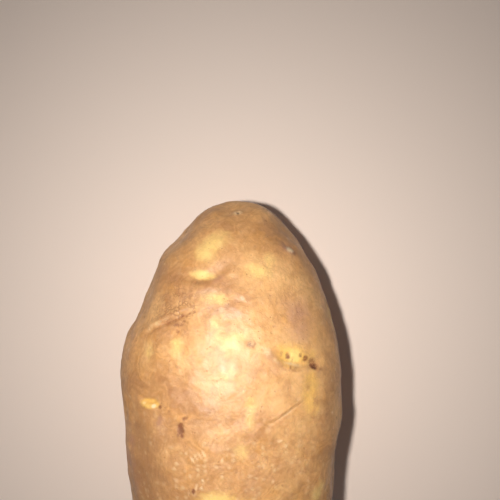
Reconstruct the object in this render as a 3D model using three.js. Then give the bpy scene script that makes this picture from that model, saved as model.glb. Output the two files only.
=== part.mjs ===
// One long potato tuber lying on its side, as dug and washed: a single solid piece.
//
// Millimetres, +Z up. The tuber lies along Y, with the rose end (where the buds crowd) at +Y and the heel
// (where the stolon was) at -Y. The origin is the middle of the tuber's footprint, on the surface that it
// rests on. Angles go round the long axis: 0 is the right side, 90 the top, 180 the left, 270 the underside.
//
// The skin is one closed surface. A blunt ellipsoid gives every point a place and a normal, and the relief,
// a height in millimetres worked out by formulas, moves the point along that normal: broad swells and
// hollows, the buds under their arched brows, the growth creases, the heel's scar and the terminal bud.

import * as THREE from "three";
import { mergeVertices } from "three/addons/utils/BufferGeometryUtils.js";

// The plain body's overall size and how its outline rounds off.
const LENGTH = 138.6;
const WIDTH = 75.2;
const HEIGHT = 65;
const REST_DEPTH = 1.2; // how far the resting spot is pressed into the underside
const REST_SOFTNESS = 0.1; // height over which the skin rolls off the resting spot
const HEEL_POWER = 2.25; // a larger power makes a blunter end
const ROSE_POWER = 1.74;
const SECTION_POWER = 2.15; // cross-section: 2 is an ellipse, more is squarer
const ROSE_THINNING = 0.05; // share by which the rose end is thinner than the middle
const ROSE_SIDESTEP = 1.7; // the rose end's drift to the right

// Broad swells (height above 0) and hollows (below 0), each a soft bell `spread` wide.
const SWELLS = [
  { y: 67.5, angle: 90, spread: 9, height: -2.0 }, // the rose end's blunt tip
  { y: 66, angle: 135, spread: 6, height: -0.2 },
  { y: 66, angle: 40, spread: 6, height: 1.0 },
  { y: 58, angle: 160, spread: 9, height: -2.8 }, // left shoulder, behind the rose end
  { y: 52, angle: 170, spread: 5, height: 0.7 },
  { y: 47, angle: 168, spread: 6, height: -0.3 },
  { y: 36, angle: 166, spread: 11, height: -2.6 }, // flat facet between the two left creases
  { y: 30.5, angle: 172, spread: 4, height: -0.4 },
  { y: 25.5, angle: 172, spread: 4, height: 0.5 }, // the lower crease's end, round the side
  { y: 14, angle: 174, spread: 11, height: 0.7 },
  { y: -4, angle: 178, spread: 11, height: -2.8 },
  { y: -18, angle: 180, spread: 13, height: -1.7 },
  { y: 60, angle: 28, spread: 9, height: -1.6 },
  { y: 40, angle: 15, spread: 14, height: -0.5 },
  { y: 0, angle: 6, spread: 15, height: -0.4 },
  { y: -18, angle: 12, spread: 8, height: -2.5 }, // notch in the right outline
  { y: -44, angle: 60, spread: 15, height: 1.2 },
  { y: -40, angle: 150, spread: 13, height: -1.1 },
  { y: 30, angle: 225, spread: 14, height: -1.5 },
  { y: 8, angle: 325, spread: 13, height: -1.4 },
  { y: -30, angle: 215, spread: 13, height: 1.3 },
  { y: -50, angle: 320, spread: 12, height: -1.2 },
];

// Buds ("eyes"). `half` is half the brow's length, `arch` how far its ends curl towards the rose end, `lip`
// its height, `depth` and `width` the hollow above it, and `tilt` its turn in degrees, anticlockwise.
const BUDS = [
  { y: 51.8, angle: 40, half: 2.6, arch: 0.8, lip: 0.25, depth: 0.6, width: 1.6, tilt: -20 },
  { y: 42.6, angle: 109, half: 9.0, arch: 3.6, lip: 0.5, depth: 0.7, width: 2.5, tilt: 6 },
  { y: 16.2, angle: 56, half: 8.6, arch: 1.5, lip: 0.42, depth: 0.8, width: 2.0, tilt: -13 },
  { y: 5.0, angle: 130, half: 3.4, arch: 0.9, lip: 0.35, depth: 0.9, width: 1.1, tilt: 2 },
  { y: -41, angle: 82, half: 6.0, arch: 1.8, lip: 0.5, depth: 0.8, width: 1.8, tilt: 8 },
];
const LIP_BELOW = 1.3; // the lip's slopes towards the heel and towards the hollow, in the bud's widths
const LIP_ABOVE = 0.5;
const ARCH_MIDDLE = 0.5; // how far up its arch a brow lies on the bud's own place

// Buds on the sides that lie away from the light, on a spiral from the rose end to the heel.
const SPIRAL_BUDS = 8;
const SPIRAL_FIRST_Y = 55;
const SPIRAL_STEP_Y = 13.5;
const SPIRAL_FIRST_ANGLE = 222;
const SPIRAL_ARC = 118; // they stay on this much of the girth, the underside's
const SPIRAL_SHARE = 0.382; // the golden angle as a share of a turn
const SPIRAL_BUD = { half: 4.2, arch: 1.5, lip: 0.5, depth: 0.9, width: 1.7 };
const SPIRAL_HALF_SWING = { by: 1.4, step: 2.1 }; // how their lengths and tilts vary from one to the next
const SPIRAL_TILT_SWING = { by: 9, step: 1.7 };

// Growth creases: a low fold of skin with a groove along its lower side.
const CREASES = [
  { y: 29.2, angle: 128, half: 9.8, tilt: 27, ridge: 0.5, groove: 0.6, width: 1.1 },
  { y: 2.0, angle: 63.5, half: 7.6, tilt: 25, ridge: 0.25, groove: 0.35, width: 0.6 },
];
const GROOVE_DROP = 0.3; // how far below the crease's line its groove runs, and its width, in fold widths
const GROOVE_WIDTH = 0.7;

// The terminal bud, a small ring with a pinhole, and the heel's corky scar. Ring and hole are in radii.
const TERMINAL = { y: 64.6, angle: 85, radius: 1.8, height: 0.35, pit: 0.5 };
const TERMINAL_RING = { at: 0.6, width: 0.5, hole: 0.35 };
const SCAR = { radius: 2.8, rim: 0.5, rimWidth: 0.4, dimple: 1.8, spread: 6.5 };

// A brow or crease means nothing further from its middle than this many halves and millimetres.
const REACH_HALVES = 2;
const REACH_MARGIN = 6;

// Mesh: a ball of triangles, split further where the relief is fine.
const BALL_DETAIL = 13;
const PLAIN_EDGE = 6; // longest edge on plain skin
const EDGE_PER_WIDTH = 0.68; // longest edge on a brow, crease or ring, in its own width
const EDGE_GROWTH = 0.9; // how fast edges lengthen away from them, millimetres per millimetre
const FINE_WIDTHS = 1.5; // how far to each side of its line a brow or crease needs its finest edges
const SPLIT_ROUNDS = 3;

const halfSize = new THREE.Vector3(WIDTH / 2, LENGTH / 2, HEIGHT / 2);
const axisHeight = halfSize.z - REST_DEPTH;
const bell = (distance, spread) => Math.exp(-((distance / spread) ** 2));

// The plain body's point in a direction from its middle: rounded off along its length by a power that
// changes from heel to rose end, with a slightly squared cross-section.
function bodyPoint(direction) {
  const along = direction.y;
  const power = THREE.MathUtils.lerp(HEEL_POWER, ROSE_POWER, (along + 1) / 2);
  const girth = Math.sqrt(Math.max(1 - Math.abs(along) ** power, 0));
  const turn = Math.atan2(direction.z, direction.x);
  const [cos, sin] = [Math.cos(turn), Math.sin(turn)];
  const square = (Math.abs(cos) ** SECTION_POWER + Math.abs(sin) ** SECTION_POWER) ** (-1 / SECTION_POWER);
  return new THREE.Vector3(
    halfSize.x * girth * square * cos + ROSE_SIDESTEP * Math.max(along, 0) ** 2,
    halfSize.y * along,
    halfSize.z * girth * square * sin * (1 - ROSE_THINNING * along) + axisHeight,
  );
}

// The outward normal of the plain ellipsoid through a body point.
function bodyNormal(point) {
  const { x, y, z } = halfSize;
  return new THREE.Vector3(point.x / x ** 2, point.y / y ** 2, (point.z - axisHeight) / z ** 2).normalize();
}

// The body's point at a distance along it and an angle round it.
function placeOnBody({ y, angle }) {
  const along = y / halfSize.y;
  const ring = Math.sqrt(1 - along ** 2);
  const turn = THREE.MathUtils.degToRad(angle);
  return bodyPoint(new THREE.Vector3(ring * Math.cos(turn), along, ring * Math.sin(turn)));
}

// A brow or crease with its flat frame on the skin: `across` round the tuber and `up` towards the rose end,
// both turned by its tilt.
function onSkin(line) {
  const origin = placeOnBody(line);
  const normal = bodyNormal(origin);
  const up = new THREE.Vector3(0, 1, 0).addScaledVector(normal, -normal.y).normalize();
  up.applyAxisAngle(normal, THREE.MathUtils.degToRad(line.tilt));
  return { arch: 0, ...line, origin, up, across: new THREE.Vector3().crossVectors(up, normal) };
}

// Where a point lies by a brow or crease: `side` along its line, in halves, and `above` its arch. Null
// beyond its reach, as on the far side of the tuber, where its flat frame means nothing.
function beside(line, point) {
  const offset = point.clone().sub(line.origin);
  if (offset.length() > REACH_HALVES * line.half + REACH_MARGIN) return null;
  const side = offset.dot(line.across) / line.half;
  return { side, above: offset.dot(line.up) - line.arch * (side ** 2 - ARCH_MIDDLE) };
}

// A bud: a lip along an arched line, steep on the side of its hollow, which holds the bud.
function budRelief(bud, { side, above }) {
  const lip = bud.lip * bell(above, bud.width * (above < 0 ? LIP_BELOW : LIP_ABOVE));
  const hollow = bud.depth * bell(above - bud.width, bud.width);
  return Math.exp(-(side ** 4)) * (lip - hollow);
}

// A crease: a fold with a groove below it, fading towards both ends.
function creaseRelief(crease, { side, above }) {
  const fold = crease.ridge * bell(above - crease.width, crease.width);
  const groove = crease.groove * bell(above + crease.width * GROOVE_DROP, crease.width * GROOVE_WIDTH);
  return Math.exp(-(side ** 4)) * (fold - groove);
}

const spiralBuds = Array.from({ length: SPIRAL_BUDS }, (_, k) => ({
  ...SPIRAL_BUD,
  y: SPIRAL_FIRST_Y - SPIRAL_STEP_Y * k,
  angle: SPIRAL_FIRST_ANGLE + SPIRAL_ARC * ((SPIRAL_SHARE * k) % 1),
  half: SPIRAL_BUD.half + SPIRAL_HALF_SWING.by * Math.cos(SPIRAL_HALF_SWING.step * k),
  tilt: SPIRAL_TILT_SWING.by * Math.sin(SPIRAL_TILT_SWING.step * k),
}));

const swells = SWELLS.map((swell) => ({ ...swell, origin: placeOnBody(swell) }));
const buds = [...BUDS, ...spiralBuds].map(onSkin);
const creases = CREASES.map(onSkin);
const terminal = { ...TERMINAL, origin: placeOnBody(TERMINAL) };
const scar = { ...SCAR, origin: placeOnBody({ y: -halfSize.y, angle: 0 }) };

// The terminal bud's ring and pinhole.
function terminalRelief(point) {
  const { origin, radius, height, pit } = terminal;
  const distance = point.distanceTo(origin);
  const ring = height * bell(distance - radius * TERMINAL_RING.at, radius * TERMINAL_RING.width);
  return ring - pit * bell(distance, radius * TERMINAL_RING.hole);
}

// The heel's wide dimple and the raised rim of the scar in it.
function scarRelief(point) {
  const { origin, radius, rim, rimWidth, dimple, spread } = scar;
  const distance = point.distanceTo(origin);
  return rim * bell(distance - radius, radius * rimWidth) - dimple * bell(distance, spread);
}

// Height of the skin above the plain body.
function relief(point) {
  let height = terminalRelief(point) + scarRelief(point);
  for (const swell of swells) height += swell.height * bell(point.distanceTo(swell.origin), swell.spread);
  for (const bud of buds) {
    const place = beside(bud, point);
    if (place) height += budRelief(bud, place);
  }
  for (const crease of creases) {
    const place = beside(crease, point);
    if (place) height += creaseRelief(crease, place);
  }
  return height;
}

// The finished skin's point in a direction. What would reach below the table is pressed flat against it.
function skinPoint(direction) {
  const body = bodyPoint(direction);
  const point = body.clone().addScaledVector(bodyNormal(body), relief(body));
  if (point.z < REST_SOFTNESS) {
    const lift = Math.max(point.z + REST_SOFTNESS, 0);
    point.z = lift ** 2 / (4 * REST_SOFTNESS);
  }
  return point;
}

// How long an edge may be at a point of the skin.
function wantedEdge(point) {
  let wanted = PLAIN_EDGE;
  for (const line of [...buds, ...creases]) {
    const place = beside(line, point);
    if (!place) continue;
    const pastEnd = Math.max(Math.abs(place.side) - 1, 0) * line.half;
    const pastSide = Math.max(Math.abs(place.above) - FINE_WIDTHS * line.width, 0);
    wanted = Math.min(wanted, EDGE_PER_WIDTH * line.width + EDGE_GROWTH * Math.hypot(pastEnd, pastSide));
  }
  for (const { origin, radius } of [terminal, scar]) {
    const past = Math.max(point.distanceTo(origin) - radius, 0);
    wanted = Math.min(wanted, EDGE_PER_WIDTH * radius + EDGE_GROWTH * past);
  }
  return wanted;
}

// Splits each edge that is too long for its place and divides its two triangles to match, so that the
// surface stays closed.
function splitLongEdges(directions, faces) {
  const points = directions.map(skinPoint);
  const middles = new Map();
  const middleOf = (i, j) => {
    const key = i < j ? `${i},${j}` : `${j},${i}`;
    if (!middles.has(key)) {
      const middle = points[i].clone().add(points[j]).multiplyScalar(0.5);
      const long = points[i].distanceTo(points[j]) > wantedEdge(middle);
      if (long) directions.push(directions[i].clone().add(directions[j]).normalize());
      middles.set(key, long ? directions.length - 1 : null);
    }
    return middles.get(key);
  };
  return faces.flatMap(([i, j, k]) => {
    const cuts = [middleOf(i, j), middleOf(j, k), middleOf(k, i)];
    const count = cuts.filter((cut) => cut !== null).length;
    if (count === 0) return [[i, j, k]];
    if (count === 3) {
      const [ij, jk, ki] = cuts;
      return [[i, ij, ki], [ij, j, jk], [ki, jk, k], [ij, jk, ki]];
    }
    // Turns the triangle so that its first edge is cut and its last is not.
    const first = cuts.findIndex((cut, n) => cut !== null && cuts[(n + 2) % 3] === null);
    const [a, b, c] = [0, 1, 2].map((n) => [i, j, k][(first + n) % 3]);
    const [ab, bc] = [cuts[first], cuts[(first + 1) % 3]];
    return bc === null ? [[a, ab, c], [ab, b, c]] : [[a, ab, bc], [ab, b, bc], [a, bc, c]];
  });
}

// The tuber's skin as one closed, indexed mesh, centred over its footprint.
function tuberGeometry() {
  const ball = new THREE.IcosahedronGeometry(1, BALL_DETAIL);
  ball.deleteAttribute("normal");
  ball.deleteAttribute("uv");
  const merged = mergeVertices(ball);
  const position = merged.getAttribute("position");
  const directions = Array.from({ length: position.count }, (_, n) =>
    new THREE.Vector3().fromBufferAttribute(position, n).normalize(),
  );
  const index = Array.from(merged.index.array);
  let faces = Array.from({ length: index.length / 3 }, (_, n) => index.slice(3 * n, 3 * n + 3));
  for (let round = 0; round < SPLIT_ROUNDS; round++) faces = splitLongEdges(directions, faces);

  const geometry = new THREE.BufferGeometry().setFromPoints(directions.map(skinPoint));
  geometry.setIndex(faces.flat());
  geometry.computeBoundingBox();
  const middle = geometry.boundingBox.getCenter(new THREE.Vector3());
  geometry.translate(-middle.x, -middle.y, 0);
  geometry.computeVertexNormals();
  return geometry;
}

const skin = new THREE.MeshStandardMaterial({ color: 0xc99a62, roughness: 0.62, metalness: 0 });
const tuber = new THREE.Mesh(tuberGeometry(), skin);
tuber.name = "tuber";

const potato = new THREE.Group();
potato.name = "potato";
potato.add(tuber);

export default potato;
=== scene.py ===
"""A long potato lying on its side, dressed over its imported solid.

One closed skin stands for the solid: the same blunt ellipsoid with the same swells, buds and creases, on a
finer grid, with the small relief of a real skin and its finish. The shape classes work in millimetres, in
the solid's own axes: +Y towards the rose end, +X right, +Z up. Angles go round the long axis: 0 is the right
side, 90 the top, 180 the left, 270 the underside. Meshes, lights and the camera are in metres.
"""

import logging
from abc import ABC, abstractmethod
from collections.abc import Callable
from dataclasses import dataclass, replace
from enum import Enum
from functools import partial

import bpy
import numpy as np
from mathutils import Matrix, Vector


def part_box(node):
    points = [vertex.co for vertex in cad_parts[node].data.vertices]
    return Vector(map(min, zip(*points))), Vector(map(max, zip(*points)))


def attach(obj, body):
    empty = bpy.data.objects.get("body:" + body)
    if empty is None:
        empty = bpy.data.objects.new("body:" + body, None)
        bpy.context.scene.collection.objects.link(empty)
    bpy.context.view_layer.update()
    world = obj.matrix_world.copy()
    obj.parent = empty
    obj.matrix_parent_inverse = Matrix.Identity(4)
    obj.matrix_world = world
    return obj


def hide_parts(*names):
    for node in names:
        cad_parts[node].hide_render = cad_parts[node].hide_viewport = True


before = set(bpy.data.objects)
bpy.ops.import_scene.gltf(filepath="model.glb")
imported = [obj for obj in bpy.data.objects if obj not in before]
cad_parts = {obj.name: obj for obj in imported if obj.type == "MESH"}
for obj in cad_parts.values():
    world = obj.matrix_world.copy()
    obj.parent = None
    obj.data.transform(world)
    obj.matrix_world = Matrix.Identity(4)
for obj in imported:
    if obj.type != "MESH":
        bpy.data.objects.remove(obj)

Array = np.ndarray
Socket = bpy.types.NodeSocket

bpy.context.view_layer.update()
NODE = "tuber"
BODY = "root"
MM = 0.001  # metres in a millimetre

log = logging.getLogger("potato")


def bell(distance: Array, spread: float | Array) -> Array:
    """A soft bump: e to the power of minus the squared ratio of distance to spread."""
    return np.exp(-((distance / spread) ** 2))


def linear(red: float, green: float, blue: float) -> tuple[float, float, float, float]:
    """A screen colour, 0 to 255 a channel, as the linear colour that a shader takes.

    Args:
        red: Screen red.
        green: Screen green.
        blue: Screen blue.

    Returns:
        Linear red, green, blue and an alpha of 1.
    """
    screen = np.array([red, green, blue]) / 255
    value = np.where(screen <= 0.04045, screen / 12.92, ((screen + 0.055) / 1.055) ** 2.4)
    return (*map(float, value), 1.0)


@dataclass(frozen=True)
class TuberBody:
    """The plain tuber, before its relief: an ellipsoid with a blunt heel and a slightly square section.

    Lengths are in millimetres. A larger power makes a blunter end or a squarer section.
    """

    length: float = 138.6
    width: float = 75.2
    height: float = 65.0
    rest_depth: float = 1.2
    rest_softness: float = 0.1
    heel_power: float = 2.25
    rose_power: float = 1.74
    section_power: float = 2.15
    rose_thinning: float = 0.05
    rose_sidestep: float = 1.7

    @property
    def half_size(self) -> Array:
        """Half the width, length and height."""
        return np.array([self.width, self.length, self.height]) / 2

    @property
    def axis_height(self) -> float:
        """Height of the long axis over the surface that the tuber rests on."""
        return self.height / 2 - self.rest_depth

    def points(self, directions: Array) -> Array:
        """The body's points in the given directions from its middle.

        With s the share along the axis, the girth is the square root of 1 minus |s| to the end's power. Round
        the axis, the radius is an ellipse's, made squarer by dividing by the section's power norm of the
        turn's cosine and sine.

        Args:
            directions: Unit vectors, one a row.

        Returns:
            Points on the body, one a row.
        """
        along = directions[:, 1]
        power = self.heel_power + (self.rose_power - self.heel_power) * (along + 1) / 2
        girth = np.sqrt(np.maximum(1 - np.abs(along) ** power, 0))
        turn = np.arctan2(directions[:, 2], directions[:, 0])
        cos, sin = np.cos(turn), np.sin(turn)
        square = (np.abs(cos) ** self.section_power + np.abs(sin) ** self.section_power) ** (
            -1 / self.section_power
        )
        half = self.half_size
        x = half[0] * girth * square * cos + self.rose_sidestep * np.maximum(along, 0) ** 2
        y = half[1] * along
        z = half[2] * girth * square * sin * (1 - self.rose_thinning * along) + self.axis_height
        return np.stack([x, y, z], axis=1)

    def normals(self, points: Array) -> Array:
        """The outward normals at body points, each coordinate divided by its half size squared."""
        normals = (points - [0, 0, self.axis_height]) / self.half_size**2
        return normals / np.linalg.norm(normals, axis=1, keepdims=True)

    def place(self, y: float, angle: float) -> Array:
        """The body's point at a distance along it and an angle in degrees round it."""
        along = np.clip(y / self.half_size[1], -1, 1)
        ring = np.sqrt(1 - along**2)
        turn = np.radians(angle)
        return self.points(np.array([[ring * np.cos(turn), along, ring * np.sin(turn)]]))[0]

    def pressed(self, points: Array) -> Array:
        """The points with what would reach below the table pressed flat against it.

        Heights within the softness of zero roll off along a parabola that meets the table without a kink.
        """
        z, soft = points[:, 2], self.rest_softness
        rolled = np.maximum(z + soft, 0) ** 2 / (4 * soft)
        return np.column_stack([points[:, :2], np.where(z < soft, rolled, z)])


@dataclass(frozen=True)
class Swell:
    """A broad swell, or a hollow where its height is below 0: a soft bell on the body."""

    y: float
    angle: float
    spread: float
    height: float

    def relief(self, body: TuberBody, points: Array) -> Array:
        """Height of the swell at body points: a bell of the distance from its middle."""
        away = np.linalg.norm(points - body.place(self.y, self.angle), axis=1)
        return self.height * bell(away, self.spread)


@dataclass(frozen=True)
class SkinFrame:
    """A place on the skin with two flat directions, across the tuber and up towards the rose end."""

    origin: Array
    across: Array
    up: Array

    @classmethod
    def at(cls, body: TuberBody, y: float, angle: float, tilt: float) -> "SkinFrame":
        """The frame at a place, turned anticlockwise by its tilt in degrees.

        Args:
            body: The plain tuber.
            y: Distance along the tuber.
            angle: Angle round it.
            tilt: Turn of the frame about the normal.

        Returns:
            The frame, with unit vectors that lie flat on the skin.
        """
        origin = body.place(y, angle)
        normal = body.normals(origin[None])[0]
        up = np.array([0.0, 1.0, 0.0]) - normal[1] * normal
        up /= np.linalg.norm(up)
        turn = np.radians(tilt)
        up = up * np.cos(turn) + np.cross(normal, up) * np.sin(turn)
        return cls(origin, np.cross(up, normal), up)

    def flat(self, points: Array, reach: float) -> tuple[Array, Array, Array]:
        """Where points lie in the frame.

        Args:
            points: Points, one a row.
            reach: Distance beyond which the frame means nothing.

        Returns:
            The rows within reach, and how far across and up each of them lies.
        """
        offset = points - self.origin
        near = np.flatnonzero(np.linalg.norm(offset, axis=1) < reach)
        return near, offset[near] @ self.across, offset[near] @ self.up


@dataclass(frozen=True)
class SkinLine(ABC):
    """A form that follows a line on the skin: its place, half length, tilt in degrees, and arch."""

    y: float
    angle: float
    half: float
    tilt: float
    arch: float

    ARCH_MIDDLE = 0.5
    REACH_HALVES = 2
    REACH_MARGIN = 6

    @abstractmethod
    def section(self, above: Array) -> Array:
        """The form's height by distance above its line."""

    @abstractmethod
    def hollow(self, above: Array) -> Array:
        """How deep in the form's hollow a distance above its line is, 0 to 1."""

    def carried(self, body: TuberBody, points: Array, section: Callable[[Array], Array]) -> Array:
        """A section carried along the line, whose arch is a parabola.

        Args:
            body: The plain tuber.
            points: Body points, one a row.
            section: A value by distance above the line.

        Returns:
            The value at each point, faded at the line's ends by e to minus the fourth power of the share
            along it.
        """
        reach = self.REACH_HALVES * self.half + self.REACH_MARGIN
        near, across, up = SkinFrame.at(body, self.y, self.angle, self.tilt).flat(points, reach)
        side = across / self.half
        values = np.zeros(len(points))
        values[near] = np.exp(-(side**4)) * section(up - self.arch * (side**2 - self.ARCH_MIDDLE))
        return values

    def relief(self, body: TuberBody, points: Array) -> Array:
        """Height at body points."""
        return self.carried(body, points, self.section)

    def shade(self, body: TuberBody, points: Array) -> Array:
        """How deep body points lie in the hollow, 0 to 1."""
        return self.carried(body, points, self.hollow)


@dataclass(frozen=True)
class Brow(SkinLine):
    """A bud under its arched brow: a lip on the heel's side, and a hollow that holds the bud above it."""

    lip: float
    depth: float
    width: float

    LIP_BELOW = 1.3  # the lip's slopes towards the heel and towards the hollow, in widths
    LIP_ABOVE = 0.5
    SHADE_AT = 0.6
    SHADE_WIDTH = 0.55

    def section(self, above: Array) -> Array:
        """A lopsided bell for the lip less a bell for the hollow."""
        slope = self.width * np.where(above < 0, self.LIP_BELOW, self.LIP_ABOVE)
        return self.lip * bell(above, slope) - self.depth * bell(above - self.width, self.width)

    def hollow(self, above: Array) -> Array:
        """A bell close above the lip."""
        return bell(above - self.width * self.SHADE_AT, self.width * self.SHADE_WIDTH)


@dataclass(frozen=True)
class Crease(SkinLine):
    """A growth crease: a low fold of skin with a groove along its lower side."""

    ridge: float
    groove: float
    width: float

    GROOVE_DROP = 0.3
    GROOVE_WIDTH = 0.7
    SHADE_WIDTH = 0.5

    def section(self, above: Array) -> Array:
        """A bell for the fold less a narrower one for the groove."""
        dip = bell(above + self.width * self.GROOVE_DROP, self.width * self.GROOVE_WIDTH)
        return self.ridge * bell(above - self.width, self.width) - self.groove * dip

    def hollow(self, above: Array) -> Array:
        """A bell in the groove."""
        return bell(above + self.width * self.GROOVE_DROP, self.width * self.SHADE_WIDTH)


@dataclass(frozen=True)
class TerminalBud:
    """The bud at the rose end's tip: a small ring with a pinhole."""

    y: float = 64.6
    angle: float = 85
    radius: float = 1.8
    height: float = 0.35
    pit: float = 0.5

    RING_AT = 0.6
    RING_WIDTH = 0.5
    HOLE = 0.35

    def away(self, body: TuberBody, points: Array) -> Array:
        """Distance of body points from the bud."""
        return np.linalg.norm(points - body.place(self.y, self.angle), axis=1)

    def relief(self, body: TuberBody, points: Array) -> Array:
        """Height at body points: a bell round the ring's radius less one for the pinhole."""
        away = self.away(body, points)
        ring = self.height * bell(away - self.radius * self.RING_AT, self.radius * self.RING_WIDTH)
        return ring - self.pit * bell(away, self.radius * self.HOLE)


@dataclass(frozen=True)
class HeelScar:
    """The corky scar where the stolon was, in a wide dimple at the heel's end."""

    radius: float = 2.8
    rim: float = 0.5
    rim_width: float = 0.4
    dimple: float = 1.8
    spread: float = 6.5

    CORK = 0.9
    CORK_REACH = 1.1

    def away(self, body: TuberBody, points: Array) -> Array:
        """Distance of body points from the heel's end."""
        return np.linalg.norm(points - body.place(-body.half_size[1], 0), axis=1)

    def relief(self, body: TuberBody, points: Array) -> Array:
        """Height at body points: a raised rim of the scar's radius less the dimple's bell."""
        away = self.away(body, points)
        rim = self.rim * bell(away - self.radius, self.radius * self.rim_width)
        return rim - self.dimple * bell(away, self.spread)

    def cork(self, body: TuberBody, points: Array) -> Array:
        """How corky body points are, 0 to 1."""
        return self.CORK * bell(self.away(body, points), self.radius * self.CORK_REACH)


class Tint(Enum):
    """The paints on the skin. Each is an attribute of the mesh, 0 to 1, that the finish reads."""

    YELLOW = "yellow"  # flesh showing through thin skin; on the top's middle partly a painted highlight
    GOLD = "gold"  # deeper yellow, in the buds' hollows
    RUSSET = "russet"  # corky reddish-brown spots, and painted shade on the floors of creases and in buds' hollows
    DARK = "dark"  # pinholes and the bottoms of pits
    PALE = "pale"  # lenticels and scuffs, and painted highlights on a fold and at a bud's ends
    MAUVE = "mauve"  # purplish, bruised skin, and painted shade under one bud's brow
    LIGHT = "light"  # paler tan, mostly painted light and a painted highlight
    BROWN = "brown"  # browner tan, partly painted shade
    NET = "net"  # netted skin
    STREAK = "streak"  # fine lines along the tuber
    BEADS = "beads"  # skin thick with pale lenticels


FIRM = 3  # the edge of a small, firm mark

# How high a full-strength mark of a paint stands, in millimetres.
RISE = {Tint.PALE: 0.07, Tint.RUSSET: -0.1, Tint.DARK: -0.3}


@dataclass(frozen=True)
class Mark:
    """A mark on the skin: an ellipse of one paint with soft edges, raised or sunk by its height.

    `across` and `up` are its half sizes in millimetres, and `edge` its softness: 2 is a bell, more is flatter
    in the middle with a sharper rim.
    """

    tint: Tint
    y: float
    angle: float
    across: float
    up: float
    strength: float = 1
    tilt: float = 0
    height: float = 0
    edge: float = 2

    REACH = 2.6

    def cover(self, body: TuberBody, points: Array) -> tuple[Array, Array]:
        """How much of the mark covers points: e to minus the elliptic distance, itself to the edge's power.

        Args:
            body: The plain tuber.
            points: Body points, one a row.

        Returns:
            The rows within reach, and the cover of each, 0 to 1.
        """
        reach = self.REACH * max(self.across, self.up)
        near, right, up = SkinFrame.at(body, self.y, self.angle, self.tilt).flat(points, reach)
        away = np.hypot(right / self.across, up / self.up)
        return near, np.exp(-(away**self.edge))


# One maker a paint: russet(y, angle, across, up, strength, tilt=...) is a mark of russet.
yellow = partial(Mark, Tint.YELLOW)
gold = partial(Mark, Tint.GOLD)
russet = partial(Mark, Tint.RUSSET)
dark = partial(Mark, Tint.DARK)
pale = partial(Mark, Tint.PALE)
mauve = partial(Mark, Tint.MAUVE)
light = partial(Mark, Tint.LIGHT)
brown = partial(Mark, Tint.BROWN)
net = partial(Mark, Tint.NET)
streak = partial(Mark, Tint.STREAK)
beads = partial(Mark, Tint.BEADS)


def spiral_brows() -> list[Brow]:
    """The buds on the sides and underside, on a spiral from the rose end to the heel."""
    count, first_y, step_y = 8, 55, 13.5
    first_angle, arc, golden = 222, 118, 0.382
    return [
        Brow(
            y=first_y - step_y * k,
            angle=first_angle + arc * ((golden * k) % 1),
            half=4.2 + 1.4 * np.cos(2.1 * k),
            arch=1.5,
            lip=0.5,
            depth=0.9,
            width=1.7,
            tilt=9 * np.sin(1.7 * k),
        )
        for k in range(count)
    ]


@dataclass(frozen=True)
class RandomWaves:
    """Soft random undulation: a sum of seeded plane waves, scaled to a spread of about 1."""

    wavelength: float
    seed: int
    count: int = 40

    def at(self, points: Array) -> Array:
        """The undulation at points: the mean of cosines of random directions, lengths and phases.

        Args:
            points: Points in millimetres, one a row.

        Returns:
            One value a point, mostly between -2 and 2.
        """
        random = np.random.default_rng(self.seed)
        direction = random.normal(size=(3, self.count))
        direction /= np.linalg.norm(direction, axis=0)
        number = 2 * np.pi / (self.wavelength * random.uniform(0.75, 1.6, self.count))
        phase = random.uniform(0, 2 * np.pi, self.count)
        waves = np.cos(points @ (direction * number) + phase)
        return waves.sum(axis=1) * np.sqrt(2 / self.count)


@dataclass(frozen=True)
class Lenticels:
    """Breathing pores scattered over the skin: tiny raised pale dots, and some brown sunken ones."""

    count: int = 900
    seed: int = 17
    reach: float = 0.985  # share of the half length
    size: tuple[float, float] = (0.45, 0.85)
    longest: float = 1.7
    most_tilt: float = 40
    strength: tuple[float, float] = (0.1, 0.34)
    top: tuple[float, float] = (35, 145)
    side_gain: float = 1.7
    rose_gain: float = 0.6
    dark_share: float = 0.3

    def marks(self) -> list[Mark]:
        """One mark a pore, at seeded random places even over a ball, and weakest on top near the rose end."""
        random = np.random.default_rng(self.seed)
        marks = []
        for _ in range(self.count):
            along = random.uniform(-self.reach, self.reach)
            angle = random.uniform(0, 360)
            size = random.uniform(*self.size)
            across = size * random.uniform(1, self.longest)
            tilt = random.uniform(-self.most_tilt, self.most_tilt)
            on_top = self.top[0] < angle < self.top[1]
            gain = self.side_gain if not on_top else 1 if along < 0 else self.rose_gain
            strength = random.uniform(*self.strength) * gain
            tint = Tint.RUSSET if random.uniform() < self.dark_share else Tint.PALE
            marks.append(Mark(tint, along * TuberBody().length / 2, angle, across, size, strength, tilt))
        return marks


@dataclass(frozen=True)
class SideSpecks:
    """Corky specks, and a pale scuff for every two of them, scattered over the sides and underside."""

    count: int = 34
    seed: int = 12
    size: tuple[float, float] = (0.45, 1.1)
    along: tuple[float, float] = (-58, 60)
    around: tuple[float, float] = (152, 388)
    stretch: tuple[float, float] = (0.8, 1.9)
    most_tilt: float = 50
    strength: tuple[float, float] = (0.3, 0.75)
    tints: tuple[Tint, ...] = (Tint.RUSSET, Tint.RUSSET, Tint.PALE)

    def marks(self) -> list[Mark]:
        """One mark a speck, at seeded random places."""
        random = np.random.default_rng(self.seed)
        marks = []
        for number in range(self.count):
            size = random.uniform(*self.size)
            y, angle = random.uniform(*self.along), random.uniform(*self.around)
            across = size * random.uniform(*self.stretch)
            tilt = random.uniform(-self.most_tilt, self.most_tilt)
            tint = self.tints[number % len(self.tints)]
            marks.append(Mark(tint, y, angle, across, size, random.uniform(*self.strength), tilt))
        return marks


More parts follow.
